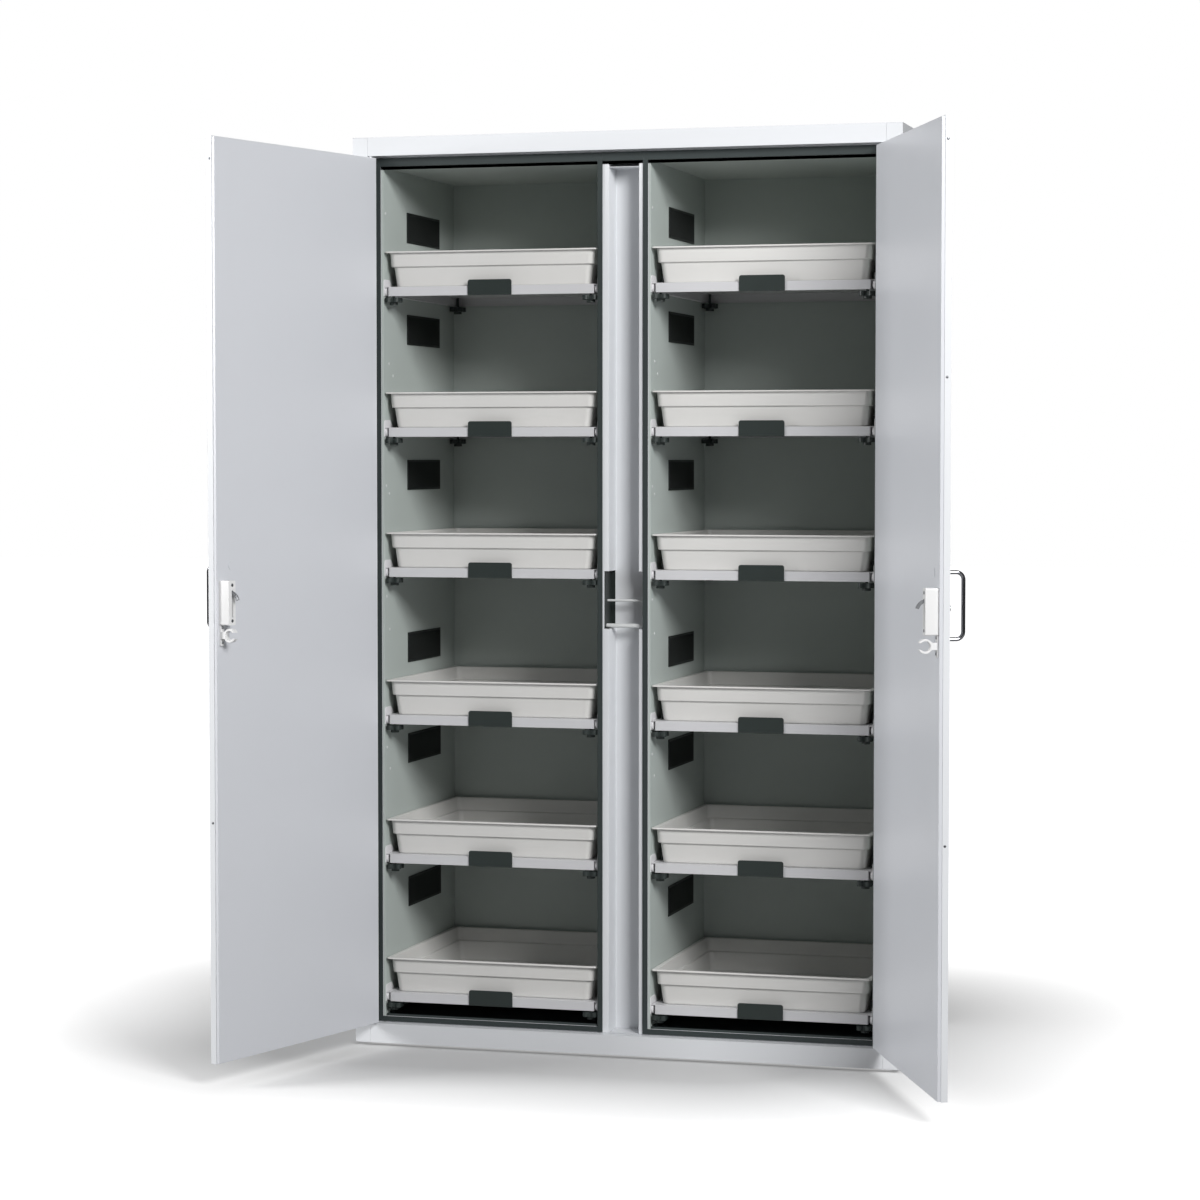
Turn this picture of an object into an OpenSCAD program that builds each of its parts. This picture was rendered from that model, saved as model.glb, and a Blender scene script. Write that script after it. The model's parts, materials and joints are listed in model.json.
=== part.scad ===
// Two-door ventilated cabinet with twelve pull-out shelves, each carrying a loose tray.
// +Z is up and the doors face -Y. The origin is on the floor under the middle of the body.
// Inside the modules, y runs back from the front face, and at_front() puts it in place.
// A drawer is drawn about its own middle, with z = 0 at the top of the tray's rim.
// A left door is drawn closed, turned open about its pivots and mirrored for the right one.

/* [Casing] */
// Overall width
cab_w = 1197; // [1100:1:1300]
// Overall depth
cab_d = 603; // [580:1:700]
// Height of the body's top above the floor
cab_h = 1965; // [1900:1:2100]
// Sheet steel of the casing
sheet = 1.5; // [1:0.1:2]
// Gap under the body, set by the levelling feet
foot_h = 7; // [7:0.5:12]
// Front width of a side panel, beside the door
side_flange = 34; // [30:1:42]
// Height of the fascia above the doors
top_fascia = 40; // [30:1:50]
// Height of the plinth below the doors
base_fascia = 42; // [35:1:50]
// Depth of the rebate that the doors close into
rebate_d = 24; // [24:0.5:28]
// Width of a side panel's rear flange
rear_flange = 38.5; // [20:0.5:60]

/* [Exhaust spigot] */
// Outer diameter of the spigot
spigot_d = 75; // [60:1:120]
// Height of the spigot above the top
spigot_h = 45; // [30:1:60]
// Distance of the spigot's axis from the rear
spigot_from_rear = 103; // [90:1:140]
// Width of the spigot's foot ring
spigot_ring = 10; // [6:1:20]

/* [Compartments] */
// Thickness of a liner board
board = 4; // [3:0.5:6]
// Air space between an outer liner board and the side of the cabinet
plenum_w = 56.5; // [50:0.5:70]
// Air space behind the back liner boards
plenum_d = 92; // [60:1:92]
// Space above the ceiling boards
plenum_h = 58; // [45:1:80]
// Width of the centre column between the compartments
column_w = 108; // [104:1:130]
// Depth of the centre column's channel
column_d = 57.5; // [55:0.5:65]
// Width of the column's front flange on each side
column_flange = 21; // [17:0.5:24]
// Height of the compartment floor above the plinth's ledge
floor_raise = 5; // [4.8:0.1:12]
// Height of the front strip that stands on the plinth's ledge
sill_h = 13.5; // [12:0.5:16]

/* [Sump trays and gaskets] */
// Height of a sump tray
sump_h = 12.7; // [8:0.1:13]
// Wall of a sump tray
sump_wall = 3; // [2:0.5:4]
// Thickness of a door gasket
gasket_t = 3; // [1.5:0.1:3.2]
// Width of a gasket beside the column and the side panels
gasket_w = 11; // [7:0.5:11]
// Width of a gasket along the top
gasket_top = 18.5; // [8:0.5:20]

/* [Vent grilles] */
// Length of a grille, front to back
vent_l = 222; // [120:1:300]
// Height of a grille
vent_h = 66; // [40:1:70]
// Distance of a grille from the front face
vent_y = 178; // [100:1:190]
// Thickness of a grille
vent_t = 2; // [1:0.1:2.4]
// Width of a grille's rim
vent_rim = 5; // [3:0.5:8]
// Pitch of a grille's ribs
vent_pitch = 6; // [5:0.5:12]

/* [Doors] */
// Thickness of a door
door_t = 20; // [18:0.5:20.5]
// Depth of a door's outer skin
skin_d = 13; // [11:0.5:14]
// Sheet steel of a door
door_sheet = 1.2; // [0.8:0.1:1.5]
// Width of a skin's inward lip
skin_lip = 14; // [12:1:16]
// Gap between a door and the side panel
door_side_gap = 0.5; // [0.4:0.1:0.8]
// Gap between the two doors
door_mid_gap = 3; // [2:0.5:4]
// Gap above a door
door_top_gap = 4; // [3:0.5:6]
// Gap below a door
door_low_gap = 2; // [1.5:0.5:3]
// Distance of a door's inner panel from the door's hinge edge
liner_hinge_inset = 11.5; // [10:0.5:13]
// Angle at which the left door stands open, in degrees
left_open = 106; // [0:0.5:120]
// Angle at which the right door stands open, in degrees
right_open = 113.5; // [0:0.5:120]

/* [Door pivots] */
// Distance of a pivot from the side panel's edge
pivot_in = 6.2; // [6:0.1:7]
// Distance of a pivot behind the front face
pivot_back = 3.3; // [3.2:0.05:3.4]
// Radius of a pivot pin
pivot_r = 2.5; // [1.5:0.1:2.6]
// Radial play of a pivot pin in its bore
pivot_play = 0.05; // [0.03:0.01:0.08]
// How far a pivot pin reaches into the door
pivot_reach = 16; // [10:1:25]
// Width of the block that a pivot turns in
block_w = 26; // [18:1:40]

/* [Locks] */
// Height of the key above the floor
key_z = 992; // [900:1:1080]
// Distance of the key from the door's free edge
key_in = 19; // [17:0.5:21]
// Radius of the lock core
core_r = 5.5; // [4:0.1:6]
// Radial play of the core in its barrel
core_play = 0.05; // [0.03:0.01:0.08]
// How far the core stands out of the door
core_out = 5.5; // [3:0.5:8]
// Wall of the lock barrel
barrel_wall = 2.45; // [1.5:0.05:3]
// Radius of the rosette on the door's face
rosette_r = 11; // [9:0.5:14]
// Thickness of the rosette
rosette_t = 2.5; // [1:0.5:3]
// Width of the lock box
box_w = 22; // [20:1:24]
// Height of the lock box
box_h = 90; // [80:1:100]
// Distance of the lock box's middle below the key
box_drop = 6; // [3:0.5:8]
// How far the lock box stands off the door
box_t = 26; // [24:0.5:27]
// Distance of the lock box from the door's free edge
box_in = 7; // [5:0.5:9]
// Radius of the lock box's corners
box_round = 3; // [1:0.5:5]

/* [Hooks and strike] */
// Outer radius of the hook's blade
hook_ro = 28; // [27.5:0.1:28.5]
// Width of the hook's blade
hook_blade = 6.8; // [4:0.1:6.9]
// Thickness of the hook
hook_t = 3; // [2:0.5:4]
// Distance of the hook's axis from the door's inner face
hook_stand = 16; // [15.5:0.1:16.5]
// Distance of the hook's axis below the key
hook_drop = 8; // [6:0.5:10]
// Radius of the hook's pin
hook_pin_r = 3; // [2:0.5:4]
// Upper end of the hook's blade, in degrees above level, when it is raised
hook_top = 88; // [80:1:88]
// Lower end of the hook's blade, in degrees above level, when it is raised
hook_low = 18; // [10:1:30]
// Width of the arm between the hook's pin and its blade
hook_arm_w = 6; // [4:0.5:6]
// Angle between the blade's upper end and the arm, in degrees
hook_arm_in = 9; // [8:1:14]
// Radius of the strike's upper rod
rod_r = 2.5; // [2:0.1:2.8]
// Distance of the upper rod behind the hook's axis
rod_back = 15; // [14.6:0.1:15.4]
// Distance of the upper rod below the hook's axis
rod_drop = 10; // [9.6:0.1:10.4]
// Radius of the strike's lower bar
bar_r = 4.7; // [3:0.1:5]
// Distance of the lower bar from the closed door's inner face
bar_stand = 25; // [24:0.5:26]
// Distance of the lower bar below the key
bar_drop = 71.5; // [70:0.5:74]
// Thickness of the strike's bracket
strike_t = 2; // [1.5:0.1:3]
// Height of the opening for the locks in the column
notch_h = 122.5; // [122:0.5:140]
// Width of the opening for the locks in the column
notch_w = 86; // [80:1:90]
// Distance of that opening's lower edge below the lower bar
notch_below = 6; // [5:0.5:8]
// Outer radius of the catch clip
clip_r = 14; // [12:0.5:15]
// Wall of the catch clip
clip_wall = 4; // [3:0.5:5]
// Height of the catch clip's mouth
clip_mouth = 12.5; // [11:0.5:14]
// Width of the catch clip
clip_w = 12; // [8:1:14]
// Thickness of the catch clip's foot plate
clip_foot = 3; // [2:0.5:4]
// Length of the catch clip's foot plate, down from the lock box
clip_plate = 42; // [38:1:46]
// Distance of the catch clip from the door's free edge
clip_in = 9; // [7:0.5:11]

/* [Handles] */
// Distance between a handle's two ends
handle_l = 128; // [96:1:192]
// Radius of the handle's bar
handle_r = 4; // [3:0.5:6]
// Distance of the bar's axis from the door
handle_out = 38; // [30:1:45]
// Radius of the handle's bends, at the bar's axis
handle_bend = 14; // [10:1:20]
// Distance of the handle from the door's free edge
handle_in = 48; // [46:1:60]
// Distance of the handle's middle above the key
handle_rise = 3.5; // [0:0.5:8]
// Radius of the caps over the handle's fixings
cap_r = 9; // [6:0.5:10]
// Thickness of the caps
cap_t = 0.8; // [0.5:0.1:0.9]

/* [Drawer places] */
// Height of the lowest rim above the compartment floor
low_room = 136; // [132:1:160]
// Distance of the highest rim below the compartment ceiling
high_room = 181; // [150:1:220]
// Extra space between the third and the fourth row, at the locks
mid_extra = 17; // [0:1:32]
// Tops of the grilles above the rims, as shares of the rows' pitch
vent_share = [0.3135, 0.574, 0.518]; // [0.2:0.001:0.6]

/* [Drawer trays] */
// Gap between a tray's rim and the compartment wall
rim_gap = 2.5; // [2.2:0.1:5]
// Distance of a tray's front from the front face
tray_y = 24; // [22:1:32]
// Gap between a tray and the back board
tray_back_gap = 9; // [6:1:14]
// Thickness of a tray
tray_wall = 3; // [2:0.5:4]
// Width of a tray's rim
rim_w = 7; // [6:0.5:9]
// Depth of a tray's upper part below its rim
upper_h = 33; // [25:1:40]
// Draft of the upper part, on each side
upper_draft = 2.3; // [0:0.1:3]
// Width of the step between the upper and the lower part
tray_step = 4.9; // [4:0.1:8]
// Draft of the lower part, on each side
lower_draft = 5.3; // [4:0.1:8]
// Height of a tray
tray_h = 76; // [60:1:76]
// Corner radius of a tray's rim
rim_round = 6; // [4:1:10]
// Corner radius of a tray below its rim
tray_round = 14; // [11:1:20]

/* [Drawer frames and runners] */
// Gap between a drawer frame and the compartment wall
frame_gap = 9.5; // [9.4:0.1:10]
// Distance of a frame's front from the front face
frame_y = 27; // [26.5:0.5:27.5]
// Height of a frame's front bar
frame_h = 20; // [19.5:0.5:21]
// Width of a frame's lips
frame_lip = 4; // [3:0.5:5]
// Steel of the runners
rail_t = 1.2; // [1:0.1:1.3]
// Height of a wall runner
rail_h = 17.4; // [17.4:0.1:17.6]
// Height of a wall runner's ear, at its front
ear_h = 36; // [30:1:40]
// Length of a wall runner's ear along its top
ear_l = 36; // [28:1:44]
// Radius of the ear's corners
ear_round = 8; // [4:1:10]
// Radius of a front roller
front_roller_r = 9; // [8.5:0.1:9]
// Width of a front roller
front_roller_w = 4; // [3:0.1:4]
// Radius of a rear roller
roller_r = 7; // [6.6:0.1:7]
// Width of a rear roller
roller_w = 5; // [4:0.1:5]
// Radius of a roller's stud
stud_r = 2; // [1.5:0.1:2.5]
// Distance of the front rollers from the front face
front_roller_y = 36; // [35.5:0.5:42]
// Distance of the rear rollers from the frame's rear end
rear_roller_in = 15; // [10:1:20]

/* [Drawer fittings] */
// Width of a grip plate
grip_w = 98; // [60:1:140]
// Height of a grip plate
grip_h = 33.5; // [24:0.5:34]
// Thickness of a grip plate
grip_t = 3; // [2:0.5:3.2]
// Radius of a grip plate's upper corners
grip_round = 5; // [2:0.5:8]
// Radius of a star-grip screw
star_r = 20; // [15:0.5:20]
// Height of a star-grip's lobes
star_h = 10; // [6:0.5:11]
// How far a star-grip's hub reaches below its lobes
star_hub_h = 6; // [3:0.5:6]
// Radius of a star-grip's threaded stud
star_stud_r = 3; // [2:0.5:3.5]
// Distance of a star-grip's axis from the frame's side
star_in = 9; // [9:0.5:12]
// Distance of the front star-grips from the frame's front
star_y = 12; // [10:0.5:16]
// Distance of the rear star-grips from the frame's rear
star_back = 20; // [18:1:30]
// Height of a tray's retaining clips
keeper_h = 22; // [10:1:30]
// Length of a tray's retaining clips
keeper_l = 12; // [6:0.5:16]
// Thickness of a tray's retaining clips
keeper_t = 3; // [2:0.5:3]
// Distance of the front clips from the frame's front
keeper_y = 50; // [40:1:80]
// Distance of the rear clips from the frame's rear
keeper_back = 70; // [60:1:100]

/* [Levelling feet] */
// Radius of a foot's disc
foot_r = 19; // [14:1:26]
// Radius of a foot's screw
foot_screw_r = 5; // [3:0.5:6]
// Distance of the feet from the sides, the front and the rear
foot_in = 60; // [45:1:100]

/* [Hidden] */
$fn = 48;
seam = 0.3;                    // between pieces that lie beside each other
snug = 0.05;                   // between pieces that are pressed or screwed together
cut = 1;                       // how far a cut runs past a face
rows = 6;
half_w = cab_w / 2;
door_frame_x = half_w - side_flange;                 // edge of the door opening
ledge_z = foot_h + base_fascia;
soffit_z = cab_h - top_fascia;
land_back = rebate_d + sheet;

// compartments
comp_in = column_w / 2 + board;                      // inner faces of the side boards
comp_out = half_w - plenum_w - board;
comp_half = (comp_out - comp_in) / 2;
comp_mid = (comp_out + comp_in) / 2;
comp_back = cab_d - plenum_d - board;
comp_floor = ledge_z + floor_raise;
comp_ceiling = cab_h - plenum_h - board;
board_low = ledge_z + seam;
land_in = comp_out + board + seam;
sill_back = land_back + seam;
column_back = rebate_d + column_d + sheet;
column_wall = column_w / 2 - column_flange;          // inner face of the channel's walls
sump_y = sill_back + 0.2;
sump_gap = 0.5;

// doors, drawn closed on the left
door_x = -door_frame_x + door_side_gap;
door_free = -door_mid_gap / 2;
door_w = door_free - door_x;
door_low = ledge_z + door_low_gap;
door_high = soffit_z - door_top_gap;
pivot_x = -door_frame_x + pivot_in;
liner_y = skin_d + seam;
liner_inset = 1;
liner_top_inset = 2.5;
block_h = pivot_reach + 2;
key_x = door_free - key_in;
barrel_r = core_r + core_play + barrel_wall;
handle_z = key_z + handle_rise;

// locks: the box, the hook in it, the clip below it and the strike that they meet
box_x = door_free - box_in - box_w;
box_z = key_z - box_drop - box_h / 2;
hook_x = box_x + box_w / 2 - 1;
hook_y = door_t + hook_stand;
hook_z = key_z - hook_drop;
slot_w = hook_t + 1.4;
slot_r = hook_ro + 1;
hub_r = hook_pin_r + 3;
rod_y = hook_y + rod_back;
rod_z = hook_z - rod_drop;
bar_y = door_t + bar_stand;
bar_z = key_z - bar_drop;
clip_x = door_free - clip_in - clip_w;
clip_plate_z = box_z - clip_plate;
notch_low = bar_z - notch_below;
notch_half = notch_w / 2;
strike_back = column_back + strike_t;

// drawers
rim_half = comp_half - rim_gap;
tray_end = comp_back - tray_back_gap;
tray_mid = (tray_y + tray_end) / 2;
rim_depth = tray_end - tray_y;
pan_half = comp_half - frame_gap - rail_t;           // the frame's pan, between its runners
pan_top = -tray_h;
pan_low = pan_top - frame_h;
frame_end = comp_back - 7;
rail_y = sill_back + 0.2;
rail_low = pan_low + 0.5;
rail_high = rail_low + rail_h;
rail_in = comp_half - 8.7;                           // inner edge of a wall runner's flanges
arm_out = comp_half - 2.8;                           // outer edge of a drawer runner's flange
front_roller_z = pan_top - rail_t - seam - front_roller_r;
front_roller_x = comp_half - rail_t - 0.5 - front_roller_w;
rear_roller_z = rail_low + rail_t + seam + roller_r;
rear_roller_y = frame_end - rear_roller_in;
roller_bore = stud_r + 0.05;
stud_head_r = stud_r + 1.2;
star_x = comp_half - frame_gap - star_in;
star_z = pan_low - 3;
row_pitch = (comp_ceiling - comp_floor - low_room - high_room - mid_extra) / (rows - 1);

function rim_z(row) = comp_floor + low_room + row_pitch * (rows - row) + (row <= rows / 2 ? mid_extra : 0);

SIDES = ["left", "right"];

// ---- shared shapes and places ----

module at_front() translate([0, -cab_d / 2, 0]) children();

module both_sides() {
    children();
    mirror([1, 0, 0]) children();
}

// a box from its lowest to its highest corner
module slab(low, high) translate(low) cube(high - low);

// a rectangle about its middle, with round corners
module round_rect(w, d, r) {
    square([w - 2 * r, d], center = true);
    square([w, d - 2 * r], center = true);
    for (x = [-1, 1], y = [-1, 1]) translate([x * (w / 2 - r), y * (d / 2 - r)]) circle(r);
}

// turns a shape's z axis to point back along y
module pointing_back() rotate([-90, 0, 0]) children();

// a cylinder along x
module x_rod(x0, x1, y, z, r) translate([x0, y, z]) rotate([0, 90, 0]) cylinder(h = x1 - x0, r = r);

// ---- casing ----

module side_panel_outline() {
    translate([-half_w, 0]) square([sheet, cab_d]);
    translate([-half_w, 0]) square([side_flange, sheet]);
    translate([-door_frame_x - sheet, 0]) square([sheet, land_back]);
    translate([-door_frame_x - sheet, rebate_d]) square([door_frame_x + sheet - land_in, sheet]);
    translate([-half_w, cab_d - sheet]) square([rear_flange, sheet]);
}

module side_panels() color("gainsboro") at_front() both_sides()
    translate([0, 0, foot_h + sheet]) linear_extrude(cab_h - foot_h - 2 * sheet) side_panel_outline();

module pivot_pin(z) translate([pivot_x, pivot_back, z])
    cylinder(h = pivot_reach + (z < key_z ? door_low_gap : door_top_gap), r = pivot_r);

module spigot_place() translate([0, cab_d - spigot_from_rear, 0]) children();

module exhaust_spigot() spigot_place() translate([0, 0, cab_h + snug]) difference() {
    union() {
        cylinder(h = spigot_h, d = spigot_d);
        cylinder(h = sheet, r = spigot_d / 2 + spigot_ring);
    }
    translate([0, 0, -cut]) cylinder(h = spigot_h + 2 * cut, r = spigot_d / 2 - sheet);
}

module top_panel() color("gainsboro") at_front() {
    fascia_half = door_frame_x - seam;
    land_half = land_in - seam;
    difference() {
        union() {
            slab([-half_w, 0, cab_h - sheet], [half_w, cab_d, cab_h]);
            slab([-fascia_half, 0, soffit_z], [fascia_half, sheet, cab_h]);
            slab([-fascia_half, 0, soffit_z], [fascia_half, rebate_d, soffit_z + sheet]);
            slab([-land_half, rebate_d, comp_ceiling + board + seam], [land_half, land_back, soffit_z + sheet]);
            slab([-land_half, 0, soffit_z], [land_half, land_back, soffit_z + sheet]);
            both_sides() pivot_pin(door_high - pivot_reach);
        }
        spigot_place() translate([0, 0, cab_h - 2 * sheet]) cylinder(h = 3 * sheet, r = spigot_d / 2 - sheet);
    }
    exhaust_spigot();
}

module foot_places() for (x = [-half_w + foot_in, half_w - foot_in], y = [foot_in, cab_d - foot_in])
    translate([x, y, 0]) children();

module base_plinth() color("gainsboro") at_front() {
    fascia_half = door_frame_x - seam;
    land_half = land_in - seam;
    difference() {
        union() {
            slab([-half_w, 0, foot_h], [half_w, cab_d, foot_h + sheet]);
            slab([-fascia_half, 0, foot_h], [fascia_half, sheet, ledge_z]);
            slab([-fascia_half, 0, ledge_z - sheet], [fascia_half, rebate_d, ledge_z]);
            slab([-land_half, 0, ledge_z - sheet], [land_half, land_back, ledge_z]);
            both_sides() slab([comp_in + seam, rebate_d, ledge_z - sheet],
                              [comp_out - seam, land_back, ledge_z + sill_h]);
            both_sides() pivot_pin(ledge_z);
        }
        foot_places() cylinder(h = foot_h + sheet + cut, r = foot_screw_r + seam);
    }
}

module back_panel() color("gainsboro") at_front()
    slab([-half_w + sheet + seam, cab_d - 2 * sheet, foot_h + sheet + seam],
         [half_w - sheet - seam, cab_d - sheet, cab_h - sheet - seam]);

module levelling_feet() color("dimgray") at_front() foot_places() {
    disc_h = foot_h - 2;
    nut_h = foot_h - disc_h - seam;
    cylinder(h = disc_h, r = foot_r);
    translate([0, 0, disc_h]) cylinder(h = nut_h, r = foot_screw_r * 1.8, $fn = 6);
    cylinder(h = foot_h + base_fascia / 2, r = foot_screw_r);
}

// ---- compartments ----

module side_board(x) slab([x, rebate_d, board_low], [x + board, comp_back, comp_ceiling + board]);

module compartment_boards() {
    side_board(comp_in - board);
    side_board(comp_out);
    slab([comp_in + seam, sill_back, comp_floor - board], [comp_out - seam, comp_back, comp_floor]);
    slab([comp_in + seam, rebate_d, comp_ceiling], [comp_out - seam, comp_back, comp_ceiling + board]);
    slab([comp_in - board, comp_back + snug, board_low],
         [comp_out + board, comp_back + board, comp_ceiling + board]);
}

module compartment_liners() color("lightgray") at_front() both_sides() compartment_boards();

module column_outline() both_sides() {
    translate([column_wall, rebate_d]) square([column_flange, sheet]);
    translate([column_wall, rebate_d]) square([sheet, column_d + sheet]);
    translate([0, rebate_d + column_d]) square([column_wall + sheet, sheet]);
}

module centre_column() color("silver") at_front() difference() {
    translate([0, 0, board_low]) linear_extrude(comp_ceiling + board - board_low) column_outline();
    slab([-notch_half, rebate_d - cut, notch_low],
         [notch_half, rebate_d + column_d, notch_low + notch_h]);
}

module strike_frame() at_front() {
    color("black") difference() {
        slab([-notch_half - strike_t, land_back, notch_low], [notch_half + strike_t, strike_back, notch_low + notch_h]);
        slab([-notch_half, land_back - cut, notch_low - cut], [notch_half, column_back, notch_low + notch_h + cut]);
    }
    rod_half = notch_half - snug;
    color("silver") x_rod(-rod_half, rod_half, rod_y, rod_z, rod_r);
    color("white") x_rod(-rod_half, rod_half, bar_y, bar_z, bar_r);
}

// a gasket frame leaves the left board's edge bare and covers the right board's and the ceiling's
module door_gaskets() color("darkslategray") at_front() for (side = [-1, 1]) translate([side * comp_mid, 0, 0]) {
    left = -comp_half - board - 1;
    right = comp_half + 0.5;
    high = comp_ceiling + 0.5;
    difference() {
        slab([left - gasket_w, rebate_d - gasket_t, ledge_z + 2], [right + gasket_w, rebate_d, high + gasket_top]);
        slab([left, 0, ledge_z + sill_h - 0.5], [right, rebate_d + cut, high]);
    }
}

// a grille stands on the left wall of a compartment, with its ribs upright
module grille(x, z) {
    window_l = vent_l - 2 * vent_rim;
    ribs = floor(window_l / vent_pitch);
    rib_t = vent_pitch * 0.4;
    difference() {
        slab([x, vent_y, z], [x + vent_t, vent_y + vent_l, z + vent_h]);
        slab([x + vent_t / 2, vent_y + vent_rim, z + vent_rim],
             [x + vent_t + cut, vent_y + vent_l - vent_rim, z + vent_h - vent_rim]);
    }
    for (i = [1:ribs - 1]) {
        y = vent_y + vent_rim + i * window_l / ribs;
        slab([x + vent_t / 2, y - rib_t / 2, z + vent_rim], [x + vent_t * 0.9, y + rib_t / 2, z + vent_h - vent_rim]);
    }
}

module vent_grilles() color("black") at_front()
    for (x = [-comp_out, comp_in], row = [1:rows])
        union() grille(x, rim_z(row) + vent_share[(row - 1) % 3] * row_pitch - vent_h);

module sump_trays() color("darkslategray") at_front() both_sides() {
    end = comp_back - 2;
    w = 2 * (comp_half - sump_gap);
    translate([comp_mid, (sump_y + end) / 2, comp_floor + seam]) difference() {
        linear_extrude(sump_h) round_rect(w, end - sump_y, 8);
        translate([0, 0, sump_wall]) linear_extrude(sump_h)
            round_rect(w - 2 * sump_wall, end - sump_y - 2 * sump_wall, 8 - sump_wall);
    }
}

// ---- runners ----

// a roller and the stud that carries it, both on the +x side
module stud(y, z, x0, x1) x_rod(x0, x1, y, z, stud_r);

module roller(y, z, x0, r, w) difference() {
    x_rod(x0, x0 + w, y, z, r);
    x_rod(x0 - cut, x0 + w + cut, y, z, roller_bore);
}

// a wall runner's ear about its lower front corner: round at both upper corners, sloping down to the rail
module ear_outline() {
    slope = 38;
    tangent = ear_round * tan(slope / 2);
    foot_l = ear_l + (ear_h - rail_h) / tan(slope);
    polygon(concat(
        [[0, 0], [foot_l, 0], [foot_l, rail_h]],
        [for (a = [90 - slope:slope / 4:90]) [ear_l - tangent, ear_h - ear_round] + ear_round * [cos(a), sin(a)]],
        [for (a = [90:15:180]) [ear_round, ear_h - ear_round] + ear_round * [cos(a), sin(a)]]));
}

module wall_runner() {
    web = comp_half - rail_t;
    flange_y = front_roller_y + front_roller_r + 3;
    head_x = front_roller_x - 0.5;
    slab([web, rail_y, rail_low], [comp_half, frame_end, rail_high]);
    across(comp_half - rail_t / 2, rail_y, rail_low, rail_t) ear_outline();
    slab([rail_in, flange_y, rail_low], [comp_half, frame_end, rail_low + rail_t]);
    slab([rail_in, flange_y, rail_high - rail_t], [comp_half, frame_end, rail_high]);
    stud(front_roller_y, front_roller_z, head_x, comp_half);
    x_rod(head_x, head_x + 0.3, front_roller_y, front_roller_z, stud_head_r);
}

module wall_runners() color("silver") at_front()
    for (side = [-1, 1], row = [1:rows]) translate([side * comp_mid, 0, rim_z(row)]) both_sides() {
        union() wall_runner();
        roller(front_roller_y, front_roller_z, front_roller_x, front_roller_r, front_roller_w);
    }

module drawer_runner() {
    web_out = comp_half - frame_gap;
    roller_x = web_out + 0.5;
    slab([pan_half + snug, frame_y + sheet, pan_low], [web_out, frame_end, pan_top]);
    slab([pan_half + snug, frame_y + sheet, pan_top - rail_t], [arm_out, frame_end, pan_top]);
    stud(rear_roller_y, rear_roller_z, pan_half + snug, roller_x + roller_w + 0.5);
    x_rod(roller_x + roller_w + 0.2, roller_x + roller_w + 0.8, rear_roller_y, rear_roller_z, stud_head_r);
}

// ---- drawers ----

module place_drawer(side, row)
    at_front() translate([(side == "left" ? -1 : 1) * comp_mid, 0, rim_z(row)]) children();

// one drafted part of the tray, from its size at the top down to its bottom
module drafted(half_x, half_y, draft, top, bottom, r) {
    low_x = half_x - draft;
    low_y = half_y - draft;
    translate([0, tray_mid, bottom])
        linear_extrude(top - bottom, scale = [half_x / low_x, half_y / low_y], slices = 1)
            round_rect(2 * low_x, 2 * low_y, r, $fn = 32);
}

module drawer_tray() color("lightgray") {
    upper_x = rim_half - rim_w;
    upper_y = rim_depth / 2 - rim_w;
    lower_x = upper_x - upper_draft - tray_step;
    lower_y = upper_y - upper_draft - tray_step;
    inner_round = tray_round - tray_wall;
    difference() {
        union() {
            translate([0, tray_mid, -tray_wall]) linear_extrude(tray_wall)
                round_rect(2 * rim_half, rim_depth, rim_round);
            drafted(upper_x, upper_y, upper_draft, -tray_wall, -upper_h, tray_round);
            drafted(lower_x, lower_y, lower_draft, -upper_h, -tray_h, tray_round);
        }
        drafted(upper_x - tray_wall, upper_y - tray_wall, upper_draft, cut, tray_wall - upper_h, inner_round);
        drafted(lower_x - tray_wall, lower_y - tray_wall, lower_draft, tray_wall - upper_h + cut,
                tray_wall - tray_h, inner_round);
    }
}

module drawer_frame() {
    color("whitesmoke") difference() {
        slab([-pan_half, frame_y, pan_low], [pan_half, frame_end, pan_top]);
        slab([-pan_half + sheet, frame_y + sheet, pan_low + sheet],
             [pan_half - sheet, frame_end - sheet, pan_top - sheet]);
        slab([-pan_half + frame_lip, frame_y + frame_lip, pan_low - cut],
             [pan_half - frame_lip, frame_end - frame_lip, pan_low + 2 * sheet]);
    }
    color("white") both_sides() {
        drawer_runner();
        roller(rear_roller_y, rear_roller_z, comp_half - frame_gap + 0.5, roller_r, roller_w);
    }
}

module grip_plate() translate([0, frame_y - grip_t, pan_low - 0.5]) {
    slab([-grip_w / 2, 0, 0], [grip_w / 2, grip_t, grip_h - grip_round]);
    slab([-grip_w / 2 + grip_round, 0, 0], [grip_w / 2 - grip_round, grip_t, grip_h]);
    for (x = [-1, 1]) translate([x * (grip_w / 2 - grip_round), 0, grip_h - grip_round])
        pointing_back() cylinder(h = grip_t, r = grip_round);
}

module star_grip() {
    lobe_r = star_r / 3;
    translate([0, 0, star_z - star_h]) linear_extrude(star_h) {
        circle(star_r * 0.6);
        for (a = [45:90:315]) rotate(a) {
            translate([star_r - lobe_r, 0]) circle(lobe_r);
            translate([0, -lobe_r]) square([star_r - lobe_r, 2 * lobe_r]);
        }
    }
    translate([0, 0, star_z - star_h - star_hub_h]) cylinder(h = star_hub_h, r = star_r * 0.45);
    translate([0, 0, star_z]) cylinder(h = pan_top - sheet - star_z, r = star_stud_r);
}

module drawer_fittings() color("dimgray") {
    union() grip_plate();
    for (y = [frame_y + star_y, frame_end - star_back]) both_sides() translate([star_x, y, 0]) star_grip();
    for (y = [frame_y + keeper_y, frame_end - keeper_back]) both_sides()
        slab([pan_half - 0.3 - keeper_t, y, pan_top], [pan_half - 0.3, y + keeper_l, pan_top + keeper_h]);
}

// ---- doors ----

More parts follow.
